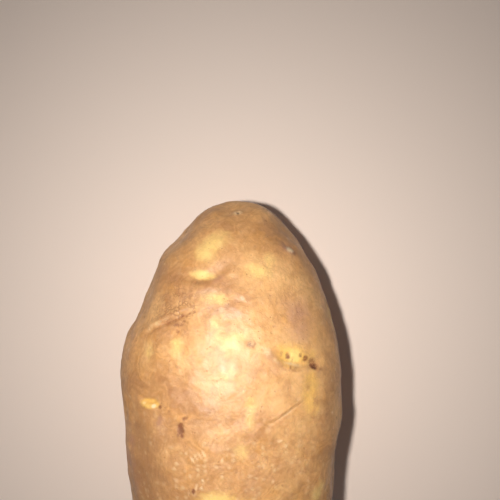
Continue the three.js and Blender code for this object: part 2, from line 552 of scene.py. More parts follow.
@dataclass(frozen=True)
class DotComb:
    """Rows of brown dots in netted skin, jogged about by a seeded draw."""

    rows: int = 4
    columns: int = 10
    y: float = 35.9
    row_step: float = 1.15
    angle: float = 108.6
    column_step: float = 2.1
    jog: float = 0.45
    jog_degrees: float = 1.6  # degrees round the tuber in a millimetre
    size: tuple[float, float] = (0.4, 0.62)
    length: float = 1.3
    strength: tuple[float, float] = (0.12, 0.42)
    seed: int = 4

    def marks(self) -> list[Mark]:
        """One mark a dot."""
        random = np.random.default_rng(self.seed)
        count = self.rows * self.columns
        row, column = np.divmod(np.arange(count), self.columns)
        jog = random.uniform(-self.jog, self.jog, (count, 2))
        across = random.uniform(*self.size, count)
        strength = random.uniform(*self.strength, count)
        y = self.y + self.row_step * row + jog[:, 0]
        angle = self.angle + self.column_step * column + self.jog_degrees * jog[:, 1]
        return [russet(*dot) for dot in zip(y, angle, across, self.length * across, strength)]


@dataclass(frozen=True)
class BoxGrid:
    """A closed grid on a box with the given number of cells along each axis, wrapped onto a ball."""

    across: int = 128
    along: int = 216
    high: int = 56

    @property
    def cells(self) -> Array:
        """The number of cells along X, Y and Z."""
        return np.array([self.across, self.along, self.high])

    def side(self, axis: int, far: bool) -> tuple[Array, Array]:
        """One side of the box as a grid of two parameters.

        Args:
            axis: The axis that the side faces.
            far: True for the side at the axis's positive end.

        Returns:
            Whole-number box corners, one a row, and the side's quads as rows of four corners, anticlockwise
            from outside.
        """
        first, second = ((axis + 1) % 3, (axis + 2) % 3) if far else ((axis + 2) % 3, (axis + 1) % 3)
        steps = [np.arange(self.cells[way] + 1) for way in (first, second)]
        u, v = np.meshgrid(*steps, indexing="ij")
        corners = np.zeros((u.size, 3), dtype=np.int64)
        corners[:, first] = u.ravel()
        corners[:, second] = v.ravel()
        corners[:, axis] = self.cells[axis] if far else 0
        number = np.arange(u.size).reshape(u.shape)
        quads = np.stack([number[:-1, :-1], number[1:, :-1], number[1:, 1:], number[:-1, 1:]], axis=-1)
        return corners, quads.reshape(-1, 4)

    def directions_and_quads(self) -> tuple[Array, Array]:
        """The whole grid, its sides joined where their corners are the same whole numbers.

        A corner at share t of its axis, from -1 to 1, goes to the tangent of t times 45 degrees, which keeps
        the cells even, and then to unit length.

        Returns:
            Unit vectors, one a row, and quads as rows of four vector numbers.
        """
        corners, quads, start = [], [], 0
        for axis in range(3):
            for far in (False, True):
                side_corners, side_quads = self.side(axis, far)
                corners.append(side_corners)
                quads.append(side_quads + start)
                start += len(side_corners)
        whole, joined = np.unique(np.concatenate(corners), axis=0, return_inverse=True)
        box = np.tan((2 * whole / self.cells - 1) * np.pi / 4)
        directions = box / np.linalg.norm(box, axis=1, keepdims=True)
        return directions, joined.reshape(-1)[np.concatenate(quads)]


@dataclass(frozen=True)
class NodeSheet:
    """Adds and joins the shader nodes of one material. Values are sockets, or numbers that never change."""

    tree: bpy.types.NodeTree

    def add(self, kind: str, **settings: object) -> bpy.types.Node:
        """A new node.

        Args:
            kind: The node's type.
            **settings: Its properties by name.

        Returns:
            The node.
        """
        node = self.tree.nodes.new(kind)
        for name, value in settings.items():
            setattr(node, name, value)
        return node

    def feed(self, socket: Socket, value: object) -> None:
        """Joins a value to a socket where it is an output, and else sets the socket's own value.

        Args:
            socket: The input to feed.
            value: An output or a plain value.
        """
        if isinstance(value, Socket):
            self.tree.links.new(value, socket)
        else:
            socket.default_value = value

    def worked(self, node: bpy.types.Node, *values: object) -> Socket:
        """The first output of a node whose inputs are fed in order.

        Args:
            node: The node.
            *values: One value an input.

        Returns:
            The output.
        """
        for socket, value in zip(node.inputs, values):
            self.feed(socket, value)
        return node.outputs[0]

    def math(self, operation: str, *values: object, clamp: bool = False) -> Socket:
        """The result of a math operation on values."""
        return self.worked(self.add("ShaderNodeMath", operation=operation, use_clamp=clamp), *values)

    def times(self, value: object, by: object) -> Socket:
        """A value multiplied by another."""
        return self.math("MULTIPLY", value, by)

    def line(self, value: object, slope: object, start: object) -> Socket:
        """A value multiplied by a slope, with a start added."""
        return self.math("MULTIPLY_ADD", value, slope, start)

    def vector(self, operation: str, *values: object) -> Socket:
        """The vector result of a vector operation on values."""
        return self.worked(self.add("ShaderNodeVectorMath", operation=operation), *values)

    def ranged(self, value: object, limits: tuple[float, ...], **settings: object) -> Socket:
        """A value moved from one range to another.

        Args:
            value: The value.
            limits: The first range's low and high ends, and the second's.
            **settings: Properties of the node.

        Returns:
            The moved value.
        """
        node = self.add("ShaderNodeMapRange", **settings)
        self.feed(node.inputs["Value"], value)
        for name, number in zip(("From Min", "From Max", "To Min", "To Max"), limits):
            node.inputs[name].default_value = number
        return node.outputs[0]

    def rise(self, value: object, low: float, high: float, top: float = 1.0) -> Socket:
        """A smooth step from 0 at low to top at high. With low above high it falls instead."""
        limits = (high, low, top, 0.0) if low > high else (low, high, 0.0, top)
        return self.ranged(value, limits, interpolation_type="SMOOTHSTEP")

    def scale(self, value: object, *limits: float) -> Socket:
        """A value moved in a straight line from one range to another, and held inside it."""
        return self.ranged(value, limits, clamp=True)

    def noise(self, place: object, size: float, detail: float = 3, rough: float = 0.55) -> bpy.types.Node:
        """Cloudy noise.

        Args:
            place: Coordinates.
            size: Rough width of its largest blots, in millimetres.
            detail: How many finer layers it has.
            rough: How strong each finer layer is.

        Returns:
            The noise node.
        """
        node = self.add("ShaderNodeTexNoise")
        self.feed(node.inputs["Vector"], place)
        for name, number in (("Scale", 1 / (size * MM)), ("Detail", detail), ("Roughness", rough)):
            node.inputs[name].default_value = number
        return node

    def clouds(self, place: object, size: float, detail: float = 3, rough: float = 0.55) -> Socket:
        """The grey value of cloudy noise, mostly between 0.3 and 0.7."""
        return self.noise(place, size, detail, rough).outputs["Fac"]

    def cells(self, place: object, size: float, feature: str) -> bpy.types.Node:
        """Irregular cells.

        Args:
            place: Coordinates.
            size: Their rough width in millimetres.
            feature: What their distance is measured from, a middle or an edge.

        Returns:
            The cell node.
        """
        node = self.add("ShaderNodeTexVoronoi", feature=feature)
        self.feed(node.inputs["Vector"], place)
        node.inputs["Scale"].default_value = 1 / (size * MM)
        return node

    def mix(self, share: object, below: object, above: object, blend: str = "MIX") -> Socket:
        """One colour laid over another.

        Args:
            share: How much of it shows.
            below: The colour below.
            above: The colour above.
            blend: How they mix.

        Returns:
            The mixed colour.
        """
        node = self.add("ShaderNodeMix", data_type="RGBA", blend_type=blend)
        for socket, value in zip((node.inputs[0], node.inputs[6], node.inputs[7]), (share, below, above)):
            self.feed(socket, value)
        return node.outputs[2]

    def paint(self, tint: Tint) -> Socket:
        """A paint's cover from the mesh, 0 to 1."""
        return self.add("ShaderNodeAttribute", attribute_name=tint.value).outputs["Fac"]


@dataclass(frozen=True)
class SkinPattern:
    """The nodes, the coordinates, and the fine patterns that both colour and relief follow, 0 to 1."""

    sheet: NodeSheet
    place: Socket
    net: Socket  # 1 on a line of the netting
    pores: Socket  # 1 in a pore
    beads: Socket  # 1 in a bead-like lenticel
    streaks: Socket  # 1 on a fine line where the skin is streaked
    grain: Socket  # fine noise


@dataclass(frozen=True)
class SkinFinish:
    """Washed potato skin: thin, slightly waxy, blotched tan with yellow patches, netting and corky marks.

    Colours are given as on a screen, and the sizes of blots, cells and lines are in millimetres.
    """

    tan: tuple = linear(208, 155, 101)
    shaded_tan: tuple = linear(184, 132, 86)
    # light_tan, brown, yellow, mauve, pale and russet also colour the painted light, painted shade, painted
    # highlights and painted shadow that the paints lay.
    light_tan: tuple = linear(235, 184, 124)
    brown: tuple = linear(166, 118, 78)
    orange: tuple = linear(216, 158, 94)
    yellow: tuple = linear(242, 206, 128)
    gold: tuple = linear(238, 188, 96)
    mauve: tuple = linear(178, 130, 112)
    russet: tuple = linear(132, 78, 44)
    dark: tuple = linear(84, 46, 26)
    pale: tuple = linear(247, 218, 174)
    net: tuple = linear(156, 108, 68)
    blot: float = 16
    warm_blot: float = 6.5
    bruise: float = 9.5
    waxy_blot: float = 7
    cloud: float = 4.5
    mottle: float = 2.6
    freckle: float = 2.2
    grain: float = 1.1
    crumb: float = 1.0
    fine_grain: float = 0.45
    net_cell: float = 1.2
    net_gap: float = 2.4
    pore_cell: float = 2.1
    bead_cell: float = 1.7
    streak: float = 0.9
    streak_stretch: float = 7
    swirl: float = 8
    swirl_stripes: float = 62
    wobble: float = 5
    wobble_step: float = 2.2
    ragged: float = 1.5
    bump_strength: float = 0.7
    bump_depth: float = 0.14
    glow_depth: float = 1.5

    def material(self) -> bpy.types.Material:
        """The finish as a material that reads Object coordinates and the skin's paints.

        Returns:
            The material.
        """
        material = bpy.data.materials.new("potato_skin_finish")
        material.use_nodes = True
        shader = material.node_tree.nodes["Principled BSDF"]
        pattern = self.pattern(NodeSheet(material.node_tree))
        colour = self.spotted(pattern, self.patterned(pattern, self.patched(pattern, self.ground(pattern))))
        pattern.sheet.feed(shader.inputs["Base Color"], colour)
        pattern.sheet.feed(shader.inputs["Roughness"], self.roughness(pattern))
        pattern.sheet.feed(shader.inputs["Normal"], self.bump(pattern))
        shader.inputs["IOR"].default_value = 1.45
        shader.inputs["Specular IOR Level"].default_value = 0.75
        shader.inputs["Subsurface Weight"].default_value = 0.08
        shader.inputs["Subsurface Radius"].default_value = (1.0, 0.45, 0.15)
        shader.inputs["Subsurface Scale"].default_value = self.glow_depth * MM
        return material

    def pattern(self, sheet: NodeSheet) -> SkinPattern:
        """The patterns on the skin, all on the same wobbled coordinates.

        Args:
            sheet: The material's nodes.

        Returns:
            The patterns.
        """
        place = self.wobbled(sheet, sheet.add("ShaderNodeTexCoord").outputs["Object"])
        return SkinPattern(
            sheet=sheet,
            place=place,
            net=self.net_lines(sheet, place),
            pores=self.pores(sheet, place),
            beads=self.beads(sheet, place),
            streaks=sheet.times(self.streaks(sheet, place), sheet.paint(Tint.STREAK)),
            grain=sheet.clouds(place, self.grain, detail=4, rough=0.65),
        )

    def wobbled(self, sheet: NodeSheet, place: Socket) -> Socket:
        """The coordinates pushed about by about half a millimetre, so that no pattern runs straight.

        Args:
            sheet: The material's nodes.
            place: Coordinates.

        Returns:
            The pushed coordinates.
        """
        way = sheet.noise(place, self.wobble, detail=2).outputs["Color"]
        way = sheet.vector("SUBTRACT", way, (0.5, 0.5, 0.5))
        scaled = sheet.add("ShaderNodeVectorMath", operation="SCALE")
        sheet.feed(scaled.inputs[0], way)
        scaled.inputs["Scale"].default_value = self.wobble_step * MM
        return sheet.vector("ADD", place, scaled.outputs[0])

    def net_lines(self, sheet: NodeSheet, place: Socket) -> Socket:
        """Thin netting along the edges of cells, with gaps, 1 on a line."""
        edges = sheet.cells(place, self.net_cell, "DISTANCE_TO_EDGE").outputs["Distance"]
        gaps = sheet.rise(sheet.clouds(place, self.net_gap, detail=2), 0.4, 0.6)
        return sheet.times(sheet.rise(edges, 0.22, 0.02), gaps)

    def pores(self, sheet: NodeSheet, place: Socket) -> Socket:
        """Pinprick pores in about half of the cells, 1 in a pore."""
        cells = sheet.cells(place, self.pore_cell, "F1")
        chosen = sheet.math("GREATER_THAN", cells.outputs["Color"], 0.5)
        return sheet.times(sheet.rise(cells.outputs["Distance"], 0.17, 0.08), chosen)

    def beads(self, sheet: NodeSheet, place: Socket) -> Socket:
        """Bead-like lenticels in about half of the cells, 1 in the middle of a bead."""
        cells = sheet.cells(place, self.bead_cell, "F1")
        dots = sheet.rise(cells.outputs["Distance"], 0.62, 0)
        return sheet.times(dots, sheet.rise(cells.outputs["Color"], 0.4, 0.8))

    def streaks(self, sheet: NodeSheet, place: Socket) -> Socket:
        """Fine lines along the tuber: noise drawn out along Y, 1 on a line."""
        drawn = sheet.vector("MULTIPLY", place, (1, 1 / self.streak_stretch, 1))
        return sheet.rise(sheet.clouds(drawn, self.streak, detail=2), 0.48, 0.64)

    def swirls(self, sheet: NodeSheet, place: Socket) -> Socket:
        """Curving stripes like the whorls of a fingerprint: the sine of cloudy noise, between 0 and 1."""
        clouds = sheet.clouds(place, self.swirl, detail=1.5, rough=0.4)
        return sheet.scale(sheet.math("SINE", sheet.times(clouds, self.swirl_stripes)), -1, 1, 0, 1)

    def mottled(self, sheet: NodeSheet, colour: Socket, noise: Socket, strength: float) -> Socket:
        """A colour made darker and lighter by noise, its blue the most, so that it turns warmer where darker.

        Args:
            sheet: The material's nodes.
            colour: The colour.
            noise: The noise, mostly between 0.3 and 0.7.
            strength: How much it does.

        Returns:
            The mottled colour.
        """
        shade = sheet.add("ShaderNodeCombineColor")
        for socket, depth in zip(shade.inputs, (0.13, 0.17, 0.24)):
            depth *= strength
            sheet.feed(socket, sheet.scale(noise, 0.28, 0.72, 1 - depth, 1 + depth * 0.6))
        return sheet.mix(1.0, colour, shade.outputs[0], "MULTIPLY")

    def ground(self, pattern: SkinPattern) -> Socket:
        """The skin's own colour: blots of lighter and darker tan, smaller orange ones, freckles and grain.

        Args:
            pattern: The skin's patterns.

        Returns:
            The colour.
        """
        sheet, place = pattern.sheet, pattern.place
        blots = sheet.clouds(place, self.blot, detail=4)
        colour = sheet.mix(sheet.rise(blots, 0.54, 0.3), self.tan, self.shaded_tan)
        colour = sheet.mix(sheet.rise(blots, 0.5, 0.68, 0.8), colour, self.light_tan)
        warm = sheet.clouds(place, self.warm_blot, detail=4, rough=0.6)
        colour = sheet.mix(sheet.rise(warm, 0.48, 0.7, 0.7), colour, self.orange)
        bruised = sheet.clouds(place, self.bruise)
        colour = sheet.mix(sheet.rise(bruised, 0.56, 0.74, 0.16), colour, self.mauve)
        freckles = sheet.clouds(place, self.freckle, detail=1)
        colour = sheet.mix(sheet.rise(freckles, 0.6, 0.74, 0.34), colour, self.brown)
        colour = self.mottled(sheet, colour, sheet.clouds(place, self.mottle, rough=0.6), 0.8)
        colour = self.mottled(sheet, colour, sheet.line(self.swirls(sheet, place), 0.36, 0.32), 0.6)
        return self.mottled(sheet, colour, pattern.grain, 0.8)

    def patched(self, pattern: SkinPattern, colour: Socket) -> Socket:
        """The colour with the soft paints laid over it, each with its edge broken by cloudy noise. The light
        paint is mostly painted light, the brown and mauve paints partly painted shade, and the yellow paint
        partly a painted highlight.

        Args:
            pattern: The skin's patterns.
            colour: The colour below.

        Returns:
            The painted colour.
        """
        sheet = pattern.sheet
        clouds = sheet.math("SUBTRACT", sheet.clouds(pattern.place, self.cloud, detail=5, rough=0.66), 0.5)
        for tint, paint, top in (
            (Tint.LIGHT, self.light_tan, 0.85),
            (Tint.BROWN, self.brown, 0.8),
            (Tint.MAUVE, self.mauve, 0.7),
            (Tint.GOLD, self.gold, 0.85),
            (Tint.YELLOW, self.yellow, 0.9),
        ):
            cover = sheet.paint(tint)
            share = sheet.rise(sheet.line(clouds, self.ragged, cover), 0.05, 1.05, top)
            colour = sheet.mix(sheet.times(share, sheet.rise(cover, 0.02, 0.35)), colour, paint)
        return colour

    def patterned(self, pattern: SkinPattern, colour: Socket) -> Socket:
        """The colour with beads, netting, streaks and pores laid over it.

        Args:
            pattern: The skin's patterns.
            colour: The colour below.

        Returns:
            The painted colour.
        """
        sheet = pattern.sheet
        beaded = sheet.line(sheet.paint(Tint.BEADS), 0.36, 0.1)
        colour = sheet.mix(sheet.times(pattern.beads, beaded), colour, self.pale)
        netted = sheet.line(sheet.paint(Tint.NET), 0.7, 0.1)
        colour = sheet.mix(sheet.times(pattern.net, netted), colour, self.net)
        colour = sheet.mix(sheet.times(pattern.streaks, 0.38), colour, self.net)
        return sheet.mix(sheet.times(pattern.pores, 0.25), colour, self.russet)

    def spotted(self, pattern: SkinPattern, colour: Socket) -> Socket:
        """The colour with the paints of spots and scuffs laid over it, broken up like crumbs. The pale paint
        also lays painted highlights, and the russet paint painted shade and a painted shadow.

        Args:
            pattern: The skin's patterns.
            colour: The colour below.

        Returns:
            The painted colour.
        """
        sheet = pattern.sheet
        crumbs = sheet.scale(sheet.clouds(pattern.place, self.crumb), 0.3, 0.7, 1.35, 0.65)
        for tint, paint, top in (
            (Tint.PALE, self.pale, 0.85),
            (Tint.RUSSET, self.russet, 0.95),
            (Tint.DARK, self.dark, 0.95),
        ):
            share = sheet.rise(sheet.times(sheet.paint(tint), crumbs), 0.06, 0.92, top)
            colour = sheet.mix(share, colour, paint)
        return colour

    def roughness(self, pattern: SkinPattern) -> Socket:
        """Waxy skin, about 0.4 to 0.6 by blots and grain, and duller where it is corky.

        Args:
            pattern: The skin's patterns.

        Returns:
            The roughness.
        """
        sheet = pattern.sheet
        waxy = sheet.scale(sheet.clouds(pattern.place, self.waxy_blot, detail=4), 0.3, 0.7, 0.38, 0.52)
        waxy = sheet.line(pattern.grain, 0.08, waxy)
        return sheet.math("MULTIPLY_ADD", sheet.paint(Tint.RUSSET), 0.25, waxy, clamp=True)

    def bump(self, pattern: SkinPattern) -> Socket:
        """The relief that is too fine for the mesh: grain, netting, pores, beads and streaks.

        Args:
            pattern: The skin's patterns.

        Returns:
            The bumped normal.
        """
        sheet = pattern.sheet
        height = sheet.line(sheet.clouds(pattern.place, self.fine_grain, rough=0.6), 0.35, pattern.grain)
        netted = sheet.line(sheet.paint(Tint.NET), 0.5, 0.15)
        height = sheet.math("SUBTRACT", height, sheet.times(pattern.net, netted))
        height = sheet.line(pattern.pores, -0.6, height)
        height = sheet.line(sheet.times(pattern.beads, sheet.paint(Tint.BEADS)), 0.5, height)
        height = sheet.line(pattern.streaks, -0.4, height)
        bump = sheet.add("ShaderNodeBump")
        bump.inputs["Strength"].default_value = self.bump_strength
        bump.inputs["Distance"].default_value = self.bump_depth * MM
        sheet.feed(bump.inputs["Height"], height)
        return bump.outputs[0]


@dataclass(frozen=True)
class Tuber:
    """The whole potato: its body, what shapes it, what marks it, and its finish."""

    body: TuberBody = TuberBody()
    grid: BoxGrid = BoxGrid()
    finish: SkinFinish = SkinFinish()
    terminal: TerminalBud = TerminalBud()
    scar: HeelScar = HeelScar()
    lenticels: Lenticels = Lenticels()
    specks: SideSpecks = SideSpecks()
    comb: DotComb = DotComb()
    groove_shade: float = 0.3
    unevenness: tuple[tuple[float, RandomWaves], ...] = (
        (0.11, RandomWaves(11, seed=3)),
        (0.045, RandomWaves(4.2, seed=5)),
        (0.016, RandomWaves(1.9, seed=8)),
    )
    swells: tuple[Swell, ...] = (
        Swell(67.5, 90, 9, -2.0),
        Swell(66, 135, 6, -0.2),
        Swell(66, 40, 6, 1.0),
        Swell(58, 160, 9, -2.8),
        Swell(52, 170, 5, 0.7),
        Swell(47, 168, 6, -0.3),
        Swell(36, 166, 11, -2.6),
        Swell(30.5, 172, 4, -0.4),
        Swell(25.5, 172, 4, 0.5),
        Swell(14, 174, 11, 0.7),
        Swell(-4, 178, 11, -2.8),
        Swell(-18, 180, 13, -1.7),
        Swell(60, 28, 9, -1.6),
        Swell(40, 15, 14, -0.5),
        Swell(0, 6, 15, -0.4),
        Swell(-18, 12, 8, -2.5),
        Swell(-44, 60, 15, 1.2),
        Swell(-40, 150, 13, -1.1),
        Swell(30, 225, 14, -1.5),
        Swell(8, 325, 13, -1.4),
        Swell(-30, 215, 13, 1.3),
        Swell(-50, 320, 12, -1.2),
    )
    right_bud: Brow = Brow(16.2, 56, 8.6, tilt=-13, arch=1.5, lip=0.42, depth=0.8, width=2.0)
    left_bud: Brow = Brow(5.0, 130, 3.4, tilt=2, arch=0.9, lip=0.35, depth=0.9, width=1.1)
    upper_bud: Brow = Brow(42.6, 109, 9.0, tilt=6, arch=3.6, lip=0.5, depth=0.7, width=2.5)
    small_bud: Brow = Brow(51.8, 40, 2.6, tilt=-20, arch=0.8, lip=0.25, depth=0.6, width=1.6)
    heel_bud: Brow = Brow(-41, 82, 6.0, tilt=8, arch=1.8, lip=0.5, depth=0.8, width=1.8)
    left_crease: Crease = Crease(29.2, 128, 9.8, tilt=27, arch=0, ridge=0.5, groove=0.6, width=1.1)
    scratch: Crease = Crease(2.9, 63.5, 7.2, tilt=27, arch=0, ridge=0.25, groove=0.35, width=0.6)

    def brows(self) -> list[Brow]:
        """All buds: those placed one by one, then those on the spiral."""
        placed = [self.small_bud, self.upper_bud, self.right_bud, self.left_bud, self.heel_bud]
        return placed + spiral_brows()

    def yellow_marks(self) -> list[Mark]:
        """Thin skin where the yellow flesh shows; on the top's middle two broad marks are partly a painted
        highlight.
        """
        return [
            yellow(54.4, 105, 5.2, 3.2, 0.9, tilt=30),
            yellow(50.8, 110.5, 3.8, 3.4, 0.8, tilt=-20),
            yellow(56.8, 98, 4, 2, 0.4),
            yellow(44.3, 109.8, 4.6, 1.7, tilt=-6, edge=FIRM),
            yellow(44.9, 73.3, 4.4, 3.2, 0.8),
            yellow(49.1, 64, 3, 2.4, 0.55),
            yellow(37.4, 99.6, 4.2, 2.3, 0.8, tilt=-10),
            yellow(30.5, 97, 5.5, 5, 0.35),
            yellow(22.4, 116.2, 2.8, 3.4, 0.75),
            # Yellow flesh and a painted highlight in one: these two broad marks on the top's middle also
            # lighten where the lamp's highlight falls.
            yellow(24.5, 91, 6, 4, 0.6),
            yellow(15, 91.5, 4.5, 2.6, 0.45),
            yellow(-1, 82.5, 2.2, 5, 0.22),
            yellow(19.6, 57.4, 2.4, 2.4, 1.1, edge=FIRM),
            gold(19.6, 57.5, 7.4, 3.3, 1.05, tilt=-10),
            gold(8.3, 49.4, 3.4, 8, 0.8),
            yellow(4, 80.4, 1.7, 4.8, 0.7),
            yellow(-7.8, 83.6, 2.7, 2.4, 0.65),
            yellow(-22.5, 95.6, 4.8, 2.8),
            gold(-23.5, 94, 7, 4, 0.7),
            yellow(-23.1, 42, 3.4, 3.6, 0.6),
            gold(5, 129.5, 3.4, 1.5, 1.6, edge=FIRM),
            yellow(4.3, 128.4, 2.4, 0.8, 0.7, edge=FIRM),
            yellow(20.8, 132.3, 3.4, 4, 0.35),
            yellow(-34, 108, 6, 4.5, 0.6),
            yellow(-46, 76, 5, 4, 0.6),
            yellow(30, 12, 5, 7, 0.6),
            yellow(-22, 352, 4.5, 7, 0.55),
            yellow(10, 196, 4.5, 6, 0.55),
            yellow(-36, 170, 5, 6, 0.5),
            yellow(38, 262, 6, 4, 0.6),
            yellow(-26, 250, 5, 5, 0.55),
        ]

    def tone_marks(self) -> list[Mark]:
        """Broad areas of paler and browner skin, mostly painted light and painted shade: paler on the top's
        middle and the right flank, browner left of the middle and on the rose end's right rim.
        """
        return [
            # Painted highlight on the top's middle and painted light along the right flank, as paler tan.
            light(23, 91, 13, 12, 0.6),
            light(16, 52, 13, 26, 0.7),
            light(-10, 60, 14, 14, 0.45),
            light(45, 66, 14, 10, 0.8),
            light(34, 108, 7, 8, 0.5),
            light(8.5, 70, 9, 8, 0.7),
            light(33, 76, 6, 6, 0.5),
            light(33, 47, 6, 9, 0.45),
            light(34, 122, 6, 5, 0.55),
            # Painted shade: browner tan left of the middle.
            brown(6.5, 97, 5, 5, 0.35),
            brown(15.6, 108, 5, 5, 0.4),
            light(-30, 80, 14, 12, 0.6),
            # Browner skin and painted shade in one at the lower left; then painted shade on the rose end's
            # right rim.
            brown(-14, 134, 11, 21, 1.15),
            brown(58, 26, 8, 9, 0.6),
            brown(37.5, 117, 5.5, 3.2, 0.3, tilt=-8),
            light(33, 137, 6, 6, 0.8),
            brown(-52, 100, 14, 10, 0.5),
            brown(-5, 300, 18, 20, 0.5),
            light(25, 215, 14, 18, 0.6),
        ]

    def mauve_marks(self) -> list[Mark]:
        """Purplish, bruised skin, and painted shade under the upper bud's brow at its right end."""
        return [
            mauve(52.4, 44, 3.6, 1.9, 0.9, tilt=-30),
            # Painted shade under the upper bud's brow, at its right end.
            mauve(42.8, 98.4, 3, 1.5, 0.6, tilt=38),
            mauve(20.2, 69.8, 2.8, 1.9, 0.9, tilt=-42),
            mauve(31, 52, 6, 9, 0.7),
            mauve(-1, 122.7, 2.4, 2.8, 0.6),
            mauve(0.1, 98, 5, 2.6, 0.25),
            mauve(57, 150, 4, 3.4, 0.6),
            mauve(-14, 150, 7, 15, 0.6),
            mauve(22, 155, 5, 9, 0.5),
            mauve(-46, 120, 9, 8, 0.5),
            mauve(0, 280, 12, 14, 0.45),
        ]

    def crease_marks(self) -> list[Mark]:
        """The left crease's dark groove with painted shade below the fold, its fold lit by a painted
        highlight, and the dots and strokes round it.
        """
        dots = [(30.3, 119.5), (30.9, 118.2), (31.6, 116.8), (31.9, 116.1), (31.8, 114.0), (32.4, 112.3)]
        dots += [(32.9, 109.8), (28.9, 119.3), (28.9, 117.5), (29.0, 115.7), (30.1, 114.5), (26.9, 117.2)]
        strokes = [(33.1, 130.2), (32.5, 126.7), (33.9, 134.7), (30.2, 136.6), (38.1, 120.3), (37.4, 113.8)]
        strokes += [(38.2, 109.6), (33.6, 122.1), (40.2, 124.0), (36.4, 117.6)]
        return [
            *[russet(y, angle, 0.72, 0.55, 0.62) for y, angle in dots],
            *[russet(y, angle, 0.34, 1.04, 0.42, tilt=8) for y, angle in strokes],
            # Painted shade: a russet band in the groove below the fold.
            russet(26.4, 134.4, 3.1, 1.04, 0.34, tilt=33),
            russet(29.8, 123.2, 3.38, 0.31, 0.5, tilt=18),
            # Painted highlight: three pale marks along the fold.
            pale(29.2, 130.2, 2.2, 0.9, 0.38, tilt=26),
            pale(27.4, 136, 3.2, 0.7, 0.36, tilt=36),
            pale(30.4, 126.2, 1.8, 0.4, 0.3, tilt=20),
            *[pale(33.6, angle, 0.35, 2.2, 0.3, tilt=6) for angle in (129.2, 131.4)],
            *self.comb.marks(),
        ]

    def right_bud_marks(self) -> list[Mark]:
        """The right bud's open pit and dashes, painted shade along its lip, and the pink scuff, ring and
        flecks by it.
        """
        flecks = [(24.7, 50.0), (23.3, 54.2), (23.1, 59.7), (23.9, 62.3), (21.8, 45.4)]
        flecks += [(26.7, 66.5), (28.3, 66.5), (13.4, 54.0), (11.6, 60.5), (9.8, 50.5), (12.2, 45.5)]
        return [
            *[russet(y, angle, 0.65, 0.59, 0.3) for y, angle in flecks],
            russet(17.4, 46.7, 1.7, 1.3, 0.7),
            russet(15.9, 45.9, 1.8, 1.2, tilt=-20),
            dark(15.7, 45.6, 1.1, 0.8, 0.75),
            dark(16.9, 46.9, 0.4, 0.45, 0.25),
            russet(14.8, 41.8, 2.21, 0.65, 0.45, tilt=-25),
            russet(18.6, 51.2, 1.05, 1, 0.9),
            russet(19.7, 54, 0.75, 0.8, 0.75),
            russet(19.6, 60.9, 0.85, 1.4, 0.8),
            russet(20.6, 64.3, 0.9, 1.2, 0.4),
            russet(18.4, 58.5, 0.5, 1, 0.42, tilt=-10),
            # Painted shade: two long russet bands along the lip's lower side.
            russet(17, 64.6, 3.2, 1.2, 0.36, tilt=-38),
            russet(15.4, 58.6, 3.4, 0.8, 0.4, tilt=-6),
            russet(16.4, 60.4, 0.55, 0.44, 0.6),
            russet(16, 57.4, 0.78, 0.36, 0.45, tilt=-15),
            pale(17.2, 59, 3.8, 0.55, 0.55, tilt=-14),
            pale(21.6, 72.2, 1.5, 2.4, 0.5, tilt=44),
            pale(18.6, 67.8, 0.9, 1.9, 0.4, tilt=44),
            russet(23.6, 79.6, 2, 1.7, 0.58),
            pale(23.6, 79.6, 1, 0.85, 0.7),
            russet(26.2, 79.4, 0.78, 0.91, 0.28),
            russet(17.7, 73.8, 0.45, 1.56, 0.3, tilt=-25),
            russet(28.7, 67.3, 0.72, 0.65, 0.5),
        ]

    def left_bud_marks(self) -> list[Mark]:
        """The left bud's bright ends, which are painted glints, its dark corner, and the brown spots between
        it and the top.
        """
        return [
            # Painted glints at the bud's two ends.
            pale(4.9, 132.8, 0.8, 0.55, 0.5, tilt=-25),
            pale(4.5, 126.5, 0.95, 0.7, 1.1, tilt=15),
            russet(4.4, 123.1, 0.65, 0.78, 0.8),
            russet(4.5, 120.3, 0.55, 0.49, 0.45),
            russet(3.5, 118.2, 0.78, 0.52, 0.45, tilt=30),
            russet(1.7, 110.2, 1.05, 0.75, 0.75, tilt=20),
            russet(0.6, 111, 0.31, 0.78, 0.4),
            russet(-0.6, 112.3, 1.2, 1.1, 0.95),
            dark(-2.1, 112.1, 0.8, 1, 0.4),
            russet(-2, 112, 1.3, 1.3, 0.95),
            russet(-3.5, 111.4, 0.75, 0.75),
            russet(-3.4, 113.6, 0.5, 0.7, 0.6),
        ]

